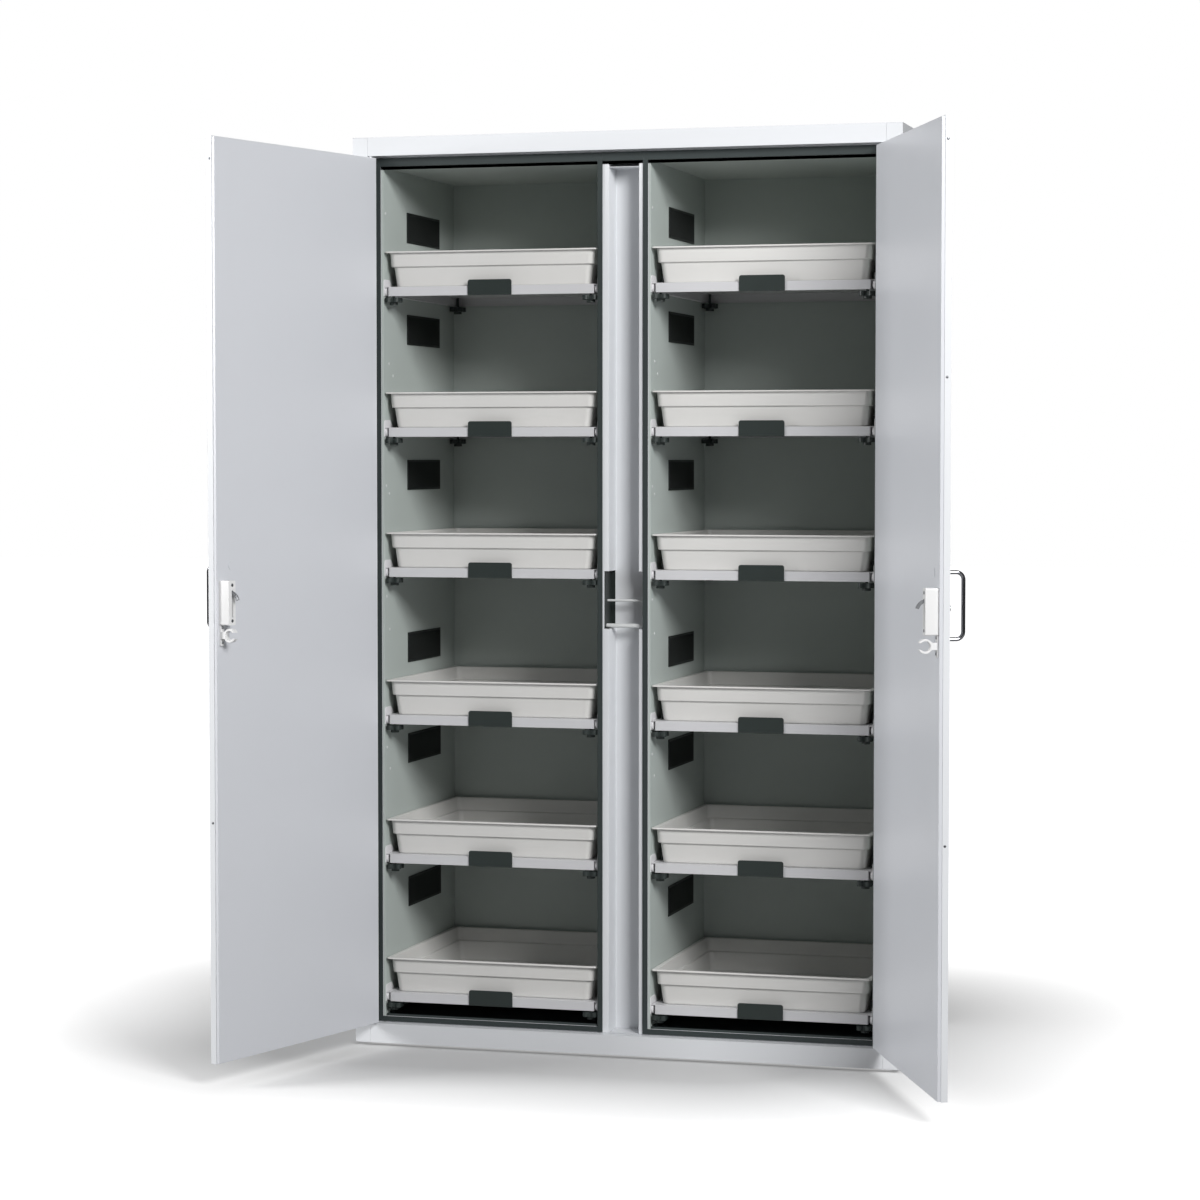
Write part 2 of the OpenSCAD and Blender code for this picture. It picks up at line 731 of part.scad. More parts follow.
// a closed left door's piece, at the pose in which its door stands
module hang(side) {
    opened = side == "left" ? left_open : right_open;
    at_front() mirror([side == "left" ? 0 : 1, 0, 0])
        translate([pivot_x, pivot_back, 0]) rotate([0, 0, -opened]) translate([-pivot_x, -pivot_back, 0]) children();
}

module skin_outline(inset) translate([door_x + inset, inset]) {
    r = pivot_back - inset;
    translate([r, 0]) square([door_w - r - 2 * inset, skin_d]);
    translate([0, r]) square([r + cut, skin_d - r]);
    translate([r, r]) circle(r);
}

module pivot_block(z) slab([door_x, sheet, z], [door_x + block_w, skin_d - door_sheet / 2, z + block_h]);

module lock_hole(y0, y1) translate([key_x, y0, key_z]) pointing_back() cylinder(h = y1 - y0, r = barrel_r + seam);

module door_skin() color("lavender") difference() {
    union() {
        difference() {
            translate([0, 0, door_low]) linear_extrude(door_high - door_low) skin_outline(0);
            translate([0, 0, door_low + door_sheet]) linear_extrude(door_high - door_low - 2 * door_sheet)
                intersection() {
                    skin_outline(door_sheet);
                    translate([door_x, 0]) square([door_w, skin_d - door_sheet]);
                }
            slab([door_x + skin_lip, skin_d / 2, door_low + skin_lip],
                 [door_free - skin_lip, skin_d + cut, door_high - skin_lip]);
        }
        pivot_block(door_low);
        pivot_block(door_high - block_h);
    }
    for (z = [door_low - cut, door_high - pivot_reach - 1]) translate([pivot_x, pivot_back, z])
        cylinder(h = pivot_reach + 1 + cut, r = pivot_r + pivot_play);
    lock_hole(-cut, skin_d + cut);
}

module door_liner() color("lightsteelblue") difference() {
    slab([door_x + liner_hinge_inset, liner_y, door_low + liner_inset],
         [door_free - liner_inset, door_t, door_high - liner_top_inset]);
    slab([door_x + liner_hinge_inset + door_sheet, liner_y - cut, door_low + liner_inset + door_sheet],
         [door_free - liner_inset - door_sheet, door_t - door_sheet, door_high - liner_top_inset - door_sheet]);
    lock_hole(liner_y, door_t + cut);
}

// half of the handle, from its middle up to its upper end
module handle_half() {
    rise = handle_l / 2 - handle_bend;
    reach = handle_out - handle_bend;
    translate([0, -handle_out, 0]) cylinder(h = rise, r = handle_r);
    translate([0, -handle_out + handle_bend, rise]) rotate([90, 0, -90])
        rotate_extrude(angle = 90) translate([handle_bend, 0]) circle(handle_r);
    translate([0, -reach, handle_l / 2]) pointing_back() cylinder(h = reach, r = handle_r);
}

module door_handle() color("silver") translate([door_free - handle_in, 0, handle_z]) {
    handle_half();
    mirror([0, 0, 1]) handle_half();
}

// the space that the hook turns in, as seen along the door's width
module hook_room() {
    circle(hub_r + 0.6);
    intersection() {
        circle(slot_r);
        translate([-hub_r, -slot_r]) square([slot_r + hub_r, 2 * slot_r]);
    }
}

// lays a shape's plane across the door: its x points back and its y points up
module across(x, y, z, t) translate([x - t / 2, y, z]) rotate([90, 0, 90]) linear_extrude(t) children();

module lock_box() difference() {
    translate([box_x + box_w / 2, door_t, box_z + box_h / 2]) rotate([-90, 0, 0])
        linear_extrude(box_t) round_rect(box_w, box_h, box_round);
    across(hook_x, hook_y, hook_z, slot_w) hook_room();
    x_rod(box_x + 2, box_x + box_w - 2, hook_y, hook_z, hook_pin_r + core_play);
}

module catch_clip() {
    slab([clip_x, door_t, clip_plate_z], [clip_x + clip_w, door_t + clip_foot, box_z - seam]);
    across(clip_x + clip_w / 2, bar_y, bar_z, clip_w) difference() {
        union() {
            circle(clip_r);
            translate([door_t - bar_y, -clip_r / 2]) square([bar_y - door_t, clip_r]);
        }
        circle(clip_r - clip_wall);
        translate([0, -clip_mouth / 2]) square([clip_r + cut, clip_mouth]);
    }
}

module lock_barrel() translate([key_x, 0, key_z]) pointing_back() difference() {
    union() {
        cylinder(h = door_t - snug, r = barrel_r);
        translate([0, 0, -rosette_t]) cylinder(h = rosette_t, r = rosette_r);
    }
    translate([0, 0, -rosette_t - cut]) cylinder(h = door_t + rosette_t + 2 * cut, r = core_r + core_play);
}

module lock_fittings() color("white") {
    lock_box();
    union() catch_clip();
    lock_barrel();
    for (z = [-1, 1]) translate([door_free - handle_in, door_t, handle_z + z * handle_l / 2])
        pointing_back() cylinder(h = cap_t, r = cap_r);
}

// the part of the plane between two angles, out past the blade
module sector(low, high) polygon([[0, 0], for (a = [low, (low + high) / 2, high]) 2 * hook_ro * [cos(a), sin(a)]]);

module hook_outline() {
    circle(hub_r);
    intersection() {
        difference() {
            circle(hook_ro);
            circle(hook_ro - hook_blade);
        }
        sector(hook_low, hook_top);
    }
    rotate(hook_top - hook_arm_in) translate([0, -hook_arm_w / 2])
        square([hook_ro - hook_blade / 2, hook_arm_w]);
}

module hook() color("slategray") {
    across(hook_x, hook_y, hook_z, hook_t) hook_outline();
    x_rod(box_x + 3, box_x + box_w - 3, hook_y, hook_z, hook_pin_r);
}

module key_core() color("silver") translate([key_x, -core_out, key_z]) pointing_back() difference() {
    cylinder(h = core_out + door_t - 0.5, r = core_r);
    translate([-0.8, -core_r * 0.6, -cut]) cube([1.6, core_r * 1.2, cut + 3]);
}

// ---- assembly ----

side_panels();
top_panel();
base_plinth();
back_panel();
compartment_liners();
centre_column();
strike_frame();
door_gaskets();
vent_grilles();
sump_trays();
wall_runners();
levelling_feet();

for (side = SIDES) {
    hang(side) door_skin();
    hang(side) door_liner();
    hang(side) door_handle();
    hang(side) lock_fittings();
    hang(side) hook();
    hang(side) key_core();
    for (row = [1:rows]) {
        place_drawer(side, row) drawer_tray();
        place_drawer(side, row) drawer_frame();
        place_drawer(side, row) drawer_fittings();
    }
}
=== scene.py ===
import json
import math
import bmesh
import bpy
import numpy as np
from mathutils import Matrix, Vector

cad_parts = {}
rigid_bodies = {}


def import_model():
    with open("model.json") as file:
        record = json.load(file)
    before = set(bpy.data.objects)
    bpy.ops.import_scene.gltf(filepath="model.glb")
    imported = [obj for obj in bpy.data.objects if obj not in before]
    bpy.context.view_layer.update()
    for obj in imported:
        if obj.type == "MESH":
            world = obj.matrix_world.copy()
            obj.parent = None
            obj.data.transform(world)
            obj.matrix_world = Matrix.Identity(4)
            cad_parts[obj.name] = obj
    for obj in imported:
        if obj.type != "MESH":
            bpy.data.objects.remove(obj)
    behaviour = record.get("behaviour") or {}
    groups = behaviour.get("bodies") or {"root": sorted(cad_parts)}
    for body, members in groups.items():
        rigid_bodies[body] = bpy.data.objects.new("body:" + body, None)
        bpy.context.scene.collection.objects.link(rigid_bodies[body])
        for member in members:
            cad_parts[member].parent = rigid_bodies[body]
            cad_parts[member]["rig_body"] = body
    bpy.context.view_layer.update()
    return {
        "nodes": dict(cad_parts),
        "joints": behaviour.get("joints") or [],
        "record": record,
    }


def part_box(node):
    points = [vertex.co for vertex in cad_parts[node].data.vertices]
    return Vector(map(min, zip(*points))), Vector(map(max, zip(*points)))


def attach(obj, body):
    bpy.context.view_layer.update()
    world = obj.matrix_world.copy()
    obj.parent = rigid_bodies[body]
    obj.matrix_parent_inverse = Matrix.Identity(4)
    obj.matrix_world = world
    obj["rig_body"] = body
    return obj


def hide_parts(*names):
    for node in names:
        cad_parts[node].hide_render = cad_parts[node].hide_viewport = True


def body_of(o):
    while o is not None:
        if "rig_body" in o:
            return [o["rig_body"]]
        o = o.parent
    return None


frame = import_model()
nodes = frame["nodes"]
print("frame loaded,", len(nodes), "nodes")

mm = 0.001
sides = ("left", "right")
rowCount = 6

# where the cabinet's main faces lie, read from the frame
caseLow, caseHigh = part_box("side_panels")
frontY = caseLow.y
joints = {j["name"]: j for j in frame["joints"]}

# fitted to the corners of the body and the doors in the photo
cameraPlace = {"lens": 93.81, "sensor": 36, "azimuth": 15.63, "pitch": 2.59, "at": (1.737, -6.6735, 1.276),
               "clipEnd": 100}


def makeCamera(c):
    data = bpy.data.cameras.new("camera")
    data.lens = c["lens"]
    data.sensor_width = c["sensor"]
    data.clip_end = c["clipEnd"]
    camera = bpy.data.objects.new("camera", data)
    a, p = math.radians(c["azimuth"]), math.radians(c["pitch"])
    ahead = Vector((-math.sin(a) * math.cos(p), math.cos(a) * math.cos(p), -math.sin(p)))
    camera.location = c["at"]
    camera.rotation_mode = "QUATERNION"
    camera.rotation_quaternion = ahead.to_track_quat("-Z", "Y")
    bpy.context.scene.collection.objects.link(camera)
    bpy.context.scene.camera = camera


makeCamera(cameraPlace)


def newGroup(name, inputs, outputs):
    group = bpy.data.node_groups.new(name, "ShaderNodeTree")
    for label, kind, value in inputs:
        socket = group.interface.new_socket(name=label, in_out="INPUT", socket_type=kind)
        socket.default_value = value
    for label, kind in outputs:
        group.interface.new_socket(name=label, in_out="OUTPUT", socket_type=kind)
    ins = group.nodes.new("NodeGroupInput")
    outs = group.nodes.new("NodeGroupOutput")
    return group, ins, outs


def noiseNode(tree, vector, scale, detail, rough=0.5):
    node = tree.nodes.new("ShaderNodeTexNoise")
    node.inputs["Detail"].default_value = detail
    node.inputs["Roughness"].default_value = rough
    if isinstance(scale, (int, float)):
        node.inputs["Scale"].default_value = scale
    else:
        tree.links.new(scale, node.inputs["Scale"])
    tree.links.new(vector, node.inputs["Vector"])
    return node.outputs["Fac"]


def rangeNode(tree, value, low, high, toLow, toHigh):
    node = tree.nodes.new("ShaderNodeMapRange")
    for label, number in (("From Min", low), ("From Max", high), ("To Min", toLow), ("To Max", toHigh)):
        if isinstance(number, (int, float)):
            node.inputs[label].default_value = number
        else:
            tree.links.new(number, node.inputs[label])
    tree.links.new(value, node.inputs["Value"])
    return node.outputs["Result"]


def mathNode(tree, operation, a, b):
    node = tree.nodes.new("ShaderNodeMath")
    node.operation = operation
    for i, v in enumerate((a, b)):
        if isinstance(v, (int, float)):
            node.inputs[i].default_value = v
        else:
            tree.links.new(v, node.inputs[i])
    return node.outputs[0]


# the colour times a grey factor
def scaledColour(tree, colour, factor):
    node = tree.nodes.new("ShaderNodeVectorMath")
    node.operation = "SCALE"
    tree.links.new(colour, node.inputs[0])
    tree.links.new(factor, node.inputs["Scale"])
    return node.outputs[0]


def makeGrainGroup():  # fine grain of a coat or a mould, with slow clouding of tone and gloss
    colour = ("Colour", "NodeSocketColor", (0.8, 0.8, 0.8, 1))
    group, ins, outs = newGroup(
        "surfaceGrain",
        [colour, ("Grain Scale", "NodeSocketFloat", 900.0), ("Cloud Scale", "NodeSocketFloat", 3.0),
         ("Tone", "NodeSocketFloat", 0.03), ("Gloss", "NodeSocketFloat", 0.4),
         ("Gloss Range", "NodeSocketFloat", 0.08)],
        [("Colour", "NodeSocketColor"), ("Roughness", "NodeSocketFloat"), ("Height", "NodeSocketFloat")])
    where = group.nodes.new("ShaderNodeTexCoord").outputs["Object"]
    grain = noiseNode(group, where, ins.outputs["Grain Scale"], 2.0)
    cloud = noiseNode(group, where, ins.outputs["Cloud Scale"], 4.0, 0.6)
    centred = mathNode(group, "SUBTRACT", cloud, 0.5)
    shade = mathNode(group, "MULTIPLY_ADD", centred, ins.outputs["Tone"])
    shade.node.inputs[2].default_value = 1.0
    rough = mathNode(group, "MULTIPLY_ADD", centred, ins.outputs["Gloss Range"])
    group.links.new(ins.outputs["Gloss"], rough.node.inputs[2])
    group.links.new(scaledColour(group, ins.outputs["Colour"], shade), outs.inputs["Colour"])
    group.links.new(rough, outs.inputs["Roughness"])
    group.links.new(grain, outs.inputs["Height"])
    return group


def makeStreakGroup():  # drawn or brushed metal: noise stretched along one axis
    group, ins, outs = newGroup(
        "drawnMetal",
        [("Colour", "NodeSocketColor", (0.6, 0.6, 0.6, 1)), ("Along", "NodeSocketVector", (1, 1, 0.04)),
         ("Gloss", "NodeSocketFloat", 0.2), ("Gloss Range", "NodeSocketFloat", 0.2)],
        [("Colour", "NodeSocketColor"), ("Roughness", "NodeSocketFloat"), ("Height", "NodeSocketFloat")])
    where = group.nodes.new("ShaderNodeTexCoord").outputs["Object"]
    stretch = group.nodes.new("ShaderNodeVectorMath")
    stretch.operation = "MULTIPLY"
    group.links.new(where, stretch.inputs[0])
    group.links.new(ins.outputs["Along"], stretch.inputs[1])
    streak = noiseNode(group, stretch.outputs[0], 1400.0, 3.0)
    centred = mathNode(group, "SUBTRACT", streak, 0.5)
    shade = mathNode(group, "MULTIPLY_ADD", centred, 0.15)
    shade.node.inputs[2].default_value = 1.0
    rough = mathNode(group, "MULTIPLY_ADD", centred, ins.outputs["Gloss Range"])
    group.links.new(ins.outputs["Gloss"], rough.node.inputs[2])
    group.links.new(scaledColour(group, ins.outputs["Colour"], shade), outs.inputs["Colour"])
    group.links.new(rough, outs.inputs["Roughness"])
    group.links.new(streak, outs.inputs["Height"])
    return group


grainGroup = makeGrainGroup()
streakGroup = makeStreakGroup()


def linear(rgb):  # from 0..255 screen values to the scene's linear ones
    c = np.array(rgb, float) / 255
    return tuple(np.where(c <= 0.04045, c / 12.92, ((c + 0.055) / 1.055) ** 2.4)) + (1.0,)


def makeMaterial(name, look):
    material = bpy.data.materials.new(name)
    material.use_nodes = True
    tree = material.node_tree
    shader = tree.nodes["Principled BSDF"]
    surface = tree.nodes.new("ShaderNodeGroup")
    surface.node_tree = streakGroup if look.get("drawn") else grainGroup
    surface.inputs["Colour"].default_value = linear(look["colour"])
    surface.inputs["Gloss"].default_value = look["rough"]
    surface.inputs["Gloss Range"].default_value = look.get("roughRange", 0.08)
    if not look.get("drawn"):
        surface.inputs["Grain Scale"].default_value = look.get("grain", 900)
        surface.inputs["Cloud Scale"].default_value = look.get("cloud", 3)
        surface.inputs["Tone"].default_value = look.get("tone", 0.03)
    bump = tree.nodes.new("ShaderNodeBump")
    bump.inputs["Distance"].default_value = look.get("depth", 0.00005)
    bump.inputs["Strength"].default_value = look.get("bump", 0.3)
    tree.links.new(surface.outputs["Height"], bump.inputs["Height"])
    tree.links.new(surface.outputs["Colour"], shader.inputs["Base Color"])
    tree.links.new(surface.outputs["Roughness"], shader.inputs["Roughness"])
    tree.links.new(bump.outputs["Normal"], shader.inputs["Normal"])
    shader.inputs["Metallic"].default_value = look.get("metal", 0.0)
    shader.inputs["IOR"].default_value = look.get("ior", 1.5)
    shader.inputs["Coat Weight"].default_value = look.get("coat", 0.0)
    shader.inputs["Coat Roughness"].default_value = look.get("coatRough", 0.2)
    return material


looks = {
    "casing": {"colour": (217, 219, 222), "rough": 0.42, "grain": 700, "bump": 0.35, "tone": 0.02,
               "coat": 0.1},
    "door_inner": {"colour": (207, 209, 214), "rough": 0.40, "grain": 700, "bump": 0.35, "tone": 0.03,
                   "coat": 0.1},
    "liner_board": {"colour": (186, 194, 190), "rough": 0.5, "grain": 500, "bump": 0.25, "tone": 0.05},
    "tray": {"colour": (222, 221, 218), "rough": 0.45, "grain": 1200, "bump": 0.25, "tone": 0.04,
             "cloud": 8},
    "runner": {"colour": (206, 206, 208), "rough": 0.38, "grain": 700, "bump": 0.3, "tone": 0.03,
               "cloud": 6},
    "dark_fitting": {"colour": (40, 48, 46), "rough": 0.45, "grain": 1500, "bump": 0.4, "tone": 0.12,
                     "cloud": 14},
    "gasket": {"colour": (44, 52, 52), "rough": 0.6, "grain": 600, "bump": 0.5, "tone": 0.15,
               "cloud": 10},
    "sump": {"colour": (54, 62, 62), "rough": 0.5, "grain": 900, "bump": 0.4, "tone": 0.1, "cloud": 8},
    "vent": {"colour": (22, 26, 25), "rough": 0.5, "grain": 1500, "bump": 0.3, "tone": 0.2, "cloud": 20},
    "strike": {"colour": (26, 34, 32), "rough": 0.45, "grain": 700, "bump": 0.3, "tone": 0.1,
               "cloud": 20},
    "lock_plastic": {"colour": (226, 226, 226), "rough": 0.3, "grain": 1500, "bump": 0.15,
                     "tone": 0.03, "cloud": 30, "coat": 0.2},
    "hook_steel": {"colour": (150, 152, 155), "rough": 0.35, "drawn": True, "metal": 1.0, "bump": 0.1},
    "handle": {"colour": (172, 173, 178), "rough": 0.12, "roughRange": 0.04, "drawn": True,
               "metal": 1.0, "bump": 0.02},
    "lock_core": {"colour": (196, 197, 200), "rough": 0.2, "drawn": True, "metal": 1.0, "bump": 0.05},
    "foot": {"colour": (40, 42, 44), "rough": 0.5, "grain": 1200, "bump": 0.3, "tone": 0.1, "cloud": 30},
}
materials = {name: makeMaterial(name, look) for name, look in looks.items()}
# looks of single parts, beside the record's own slots
partLooks = {
    "rod": {"colour": (214, 216, 216), "rough": 0.3, "grain": 900, "bump": 0.2, "coat": 0.2},
    "screw": {"colour": (104, 106, 110), "rough": 0.3, "drawn": True, "metal": 1.0},
    "wall_runner": {"colour": (229, 228, 230), "rough": 0.35, "grain": 700, "bump": 0.3},
    "plug": {"colour": (214, 216, 216), "rough": 0.4, "grain": 1500, "bump": 0.2},
}
materials.update({name: makeMaterial(name, look) for name, look in partLooks.items()})
slotOf = {s["node"]: s["material_slot"] for s in frame["record"]["subparts"]}
for name, obj in nodes.items():
    obj.data.materials.clear()
    obj.data.materials.append(materials[slotOf[name]])
nodes["wall_runners"].data.materials[0] = materials["wall_runner"]
print("materials made")


# angles in degrees, the merging distance in metres
finish = {"smooth": 35, "bevelFrom": 40, "flat": 1, "merge": 1e-6, "segments": 2}


# a mesh of whole arrays, riding on its body
def newPiece(name, verts, faces, material, body, smoothAngle=finish["smooth"]):
    mesh = bpy.data.meshes.new(name)
    mesh.from_pydata(np.asarray(verts).tolist(), [], faces)
    mesh.validate()
    mesh.materials.append(materials[material])
    mesh.polygons.foreach_set("use_smooth", np.ones(len(mesh.polygons), bool))
    mesh.set_sharp_from_angle(angle=math.radians(smoothAngle))
    obj = bpy.data.objects.new(name, mesh)
    bpy.context.scene.collection.objects.link(obj)
    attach(obj, body)
    return obj


# a merged copy of a CAD node with its sharp edges rounded, standing for that node
def bevelled(node, width):
    source = nodes[node]
    mesh = source.data.copy()
    mesh.name = node + "_finished"
    shape = bmesh.new()
    shape.from_mesh(mesh)
    bmesh.ops.remove_doubles(shape, verts=shape.verts, dist=finish["merge"])
    flat = math.radians(finish["flat"])
    bmesh.ops.dissolve_limit(shape, angle_limit=flat, verts=shape.verts, edges=shape.edges)
    shape.to_mesh(mesh)
    shape.free()
    mesh.polygons.foreach_set("use_smooth", np.ones(len(mesh.polygons), bool))
    mesh.set_sharp_from_angle(angle=math.radians(finish["smooth"]))
    obj = bpy.data.objects.new(node + "_finished", mesh)
    bpy.context.scene.collection.objects.link(obj)
    bevel = obj.modifiers.new("roundedEdges", "BEVEL")
    bevel.width = width
    bevel.segments = finish["segments"]
    bevel.limit_method = "ANGLE"
    bevel.angle_limit = math.radians(finish["bevelFrom"])
    bevel.use_clamp_overlap = True
    bevel.harden_normals = True
    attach(obj, body_of(source)[0])
    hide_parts(node)
    return obj


# points round a rectangle with round corners, anticlockwise seen from above; radius may be an array
def roundedRing(halfX, halfY, radius, perCorner):
    halfX, halfY, radius = (np.atleast_1d(v).astype(float)[:, None] for v in (halfX, halfY, radius))
    corner = np.repeat(np.arange(4), perCorner)
    angle = (corner * 90 + np.tile(np.linspace(0, 90, perCorner), 4)) * math.pi / 180
    signX = np.array([1, -1, -1, 1])[corner]
    signY = np.array([1, 1, -1, -1])[corner]
    x = signX * (halfX - radius) + radius * np.cos(angle)
    y = signY * (halfY - radius) + radius * np.sin(angle)
    return x, y


# quads between successive rings of the same count; the first and last may be closed by a face
def ringSkin(x, y, z, capFirst=True, capLast=True):
    rings, count = x.shape
    verts = np.stack([x, y, np.broadcast_to(z, x.shape)], -1).reshape(-1, 3)
    i, j = np.meshgrid(np.arange(rings - 1), np.arange(count), indexing="ij")
    nextJ = (j + 1) % count
    faces = np.stack([i * count + j, i * count + nextJ, (i + 1) * count + nextJ, (i + 1) * count + j], -1)
    faces = faces.reshape(-1, 4).tolist()
    if capFirst:
        faces.append(list(range(count))[::-1])
    if capLast:
        faces.append(list(range((rings - 1) * count, rings * count)))
    return verts, faces


# in mm; endReach: how far each profile's flat end runs on, in times its own rounding
tray = {"wall": 3, "height": 76, "rimWidth": 7, "upperDepth": 33, "upperDraft": 2.3, "step": 4.9,
        "lowerDraft": 5.3, "rimRound": 6, "bodyRound": 14, "flange": 2.4, "lipDrop": 3.2, "lipWall": 1.6,
        "perCorner": 12, "endReach": (1.5, 2)}


# (inset from the rim's edge, height, corner radius, rounding), from the floor's outside up, over the rim
# and down inside
def trayProfile(t):
    rim, up, w = t["rimWidth"], t["upperDepth"], t["wall"]
    upperFoot = rim + t["upperDraft"]
    lowerTop = upperFoot + t["step"]
    floor = lowerTop + t["lowerDraft"]
    edge, body, inner = t["rimRound"], t["bodyRound"], t["bodyRound"] - w
    return [
        (floor, -t["height"], body, 5.0),
        (lowerTop, -up, body, 2.0),
        (upperFoot, -up, body, 1.6),
        (rim, -t["flange"], body, 1.2),
        (t["lipWall"], -t["flange"], edge, 0.5),
        (t["lipWall"], -t["lipDrop"], edge, 0.3),
        (0.0, -t["lipDrop"], edge, 0.4),
        (0.0, 0.0, edge, 1.2),
        (rim + w, 0.0, inner, 1.6),
        (upperFoot + w, w - up, inner, 2.5),
        (lowerTop + w, w - up, inner, 1.6),
        (floor + w, w - t["height"], inner, 6.0)]


# each inner corner p of a profile becomes an arc of its own rounding, which takes at most legShare of a leg:
# place = (1 - s)^2 start + 2 s (1 - s) p + s^2 end
def filleted(points, steps=4, legShare=0.45):
    out = [points[0][:3]]
    for k in range(1, len(points) - 1):
        p, a, b = (np.array(points[i][:3]) for i in (k, k - 1, k + 1))
        da, db = a - p, b - p
        la, lb = np.linalg.norm(da[:2]), np.linalg.norm(db[:2])
        reach = min(points[k][3], legShare * la, legShare * lb)
        start, end = p + da / la * reach, p + db / lb * reach
        for s in np.linspace(0, 1, steps):
            out.append(tuple((1 - s) ** 2 * start + 2 * s * (1 - s) * p + s * s * end))
    out.append(points[-1][:3])
    return np.array(out)


def makeTray(side, row, t):
    node = f"drawer_{side}_{row}_tray"
    low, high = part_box(node)
    half = (high - low) / 2
    outside = trayProfile(t)
    first, last = outside[0], outside[-1]
    start = (first[0] + first[3] * t["endReach"][0], first[1], first[2], 0)
    end = (last[0] + last[3] * t["endReach"][1], last[1], last[2], 0)
    points = [start] + outside + [end]
    inset, height, radius = (filleted(points) * mm).T
    x, y = roundedRing(half.x - inset, half.y - inset, radius, t["perCorner"])
    verts, faces = ringSkin(x + (low.x + high.x) / 2, y + (low.y + high.y) / 2, (high.z + height)[:, None])
    obj = newPiece(node + "_moulded", verts, faces, "tray", f"drawer_{side}_{row}", smoothAngle=40)
    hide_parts(node)


for side in sides:
    for row in range(1, rowCount + 1):
        makeTray(side, row, tray)
print("trays made")


# how wide each node's edges are rounded, in mm
edgeWidth = {"side_panels": 0.5, "top_panel": 0.5, "base_plinth": 0.5, "centre_column": 0.5,
             "strike_frame": 0.4, "sump_trays": 0.8, "door_gaskets": 0.7, "compartment_liners": 0.3}
for side in sides:
    edgeWidth.update({f"door_{side}_skin": 0.4, f"door_{side}_liner": 0.6, f"door_{side}_lock_fittings": 0.8,
                      f"door_{side}_hook": 0.4, f"door_{side}_key": 0.3})
    for row in range(1, rowCount + 1):
        edgeWidth.update({f"drawer_{side}_{row}_frame": 0.4, f"drawer_{side}_{row}_fittings": 0.7})
finished = {name: bevelled(name, width * mm) for name, width in edgeWidth.items()}
print("edges rounded")


# a box between two corners with its edges rounded
def boxPiece(name, low, high, width, material, body):
    low, high = np.array(low), np.array(high)
    corners = np.array([(x, y, z) for x in (0, 1) for y in (0, 1) for z in (0, 1)])
    faces = [(0, 1, 3, 2), (4, 6, 7, 5), (0, 4, 5, 1), (2, 3, 7, 6), (0, 2, 6, 4), (1, 5, 7, 3)]
    obj = newPiece(name, low + corners * (high - low), faces, material, body)
    bevel = obj.modifiers.new("roundedEdges", "BEVEL")
    bevel.width = width
    bevel.segments = finish["segments"]
    bevel.harden_normals = True
    return obj


# the top seal runs on over the column; below it along both compartments runs a dark strip of seal material
# that is partly a lip and partly painted shade, standing for the shade under the seal
sealLow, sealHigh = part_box("door_gaskets")
columnLow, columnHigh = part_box("centre_column")
seal = {"ceilingEdge": 18.5, "lip": 6.5, "lipBack": 3.0, "bridge": (-46.5, 42.0), "width": 11, "edge": 0.3}
edgeZ = sealHigh.z - seal["ceilingEdge"] * mm
boxPiece("seal_bridge",
         (seal["bridge"][0] * mm, sealLow.y, edgeZ),
         (seal["bridge"][1] * mm, sealHigh.y, sealHigh.z),
         seal["edge"] * mm, "gasket", "cabinet")
# a dark strip below the seal: partly the seal's lip, partly painted shade
boxPiece("seal_lip",
         (sealLow.x + seal["width"] * mm, sealLow.y + seal["lipBack"] * mm, edgeZ - seal["lip"] * mm),
         (sealHigh.x - seal["width"] * mm, sealHigh.y, edgeZ),
         seal["edge"] * mm, "gasket", "cabinet")

# the column's channel is closed at its foot and its head by a plate of the casing
channel = {"half": 32.5, "start": 1.8, "back": 2.0, "foot": 1.2, "plate": 1.2, "head": 12, "edge": 0.2}
for label, z in (("foot", columnLow.z + channel["foot"] * mm), ("head", edgeZ - channel["head"] * mm)):
    boxPiece("channel_" + label,
             (-channel["half"] * mm, columnLow.y + channel["start"] * mm, z - channel["plate"] * mm),
             (channel["half"] * mm, columnHigh.y - channel["back"] * mm, z),
             channel["edge"] * mm, "casing", "cabinet")
print("seal and channel ends made")

# in mm: the bracket's sheet at either side, how far before its rear face the rod and bar end, and a slack
strike = {"side": 2, "back": 6, "slack": 0.01}


# the strike's rod and bar are pale, on a black bracket: their polygons lie between its sides, before its back
def paintStrike(s):
    shape = finished["strike_frame"].data
    shape.materials.append(materials["rod"])
    centres = np.zeros(len(shape.polygons) * 3)
    shape.polygons.foreach_get("center", centres)
    centres = centres.reshape(-1, 3)
    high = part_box("strike_frame")[1]
    between = np.abs(centres[:, 0]) < high.x - (s["side"] + s["slack"]) * mm
    before = centres[:, 1] < high.y - s["back"] * mm
    shape.polygons.foreach_set("material_index", (between & before).astype(np.int32))


paintStrike(strike)


# a disc about z: a straight side, then a dome as a quarter of an ellipse, closed by a face of tip times
# the radius
def domedDisc(radius, height, dome, count=20, rings=5, tip=0.03):
    t = np.linspace(0, math.pi / 2, rings)
    r = np.concatenate([[radius], radius * np.cos(t[:-1]), [radius * tip]])
    z = np.concatenate([[0], height + dome * np.sin(t[:-1]), [height + dome]])
    angle = np.linspace(0, 2 * math.pi, count, endpoint=False)
    return r[:, None] * np.cos(angle), r[:, None] * np.sin(angle), z[:, None]


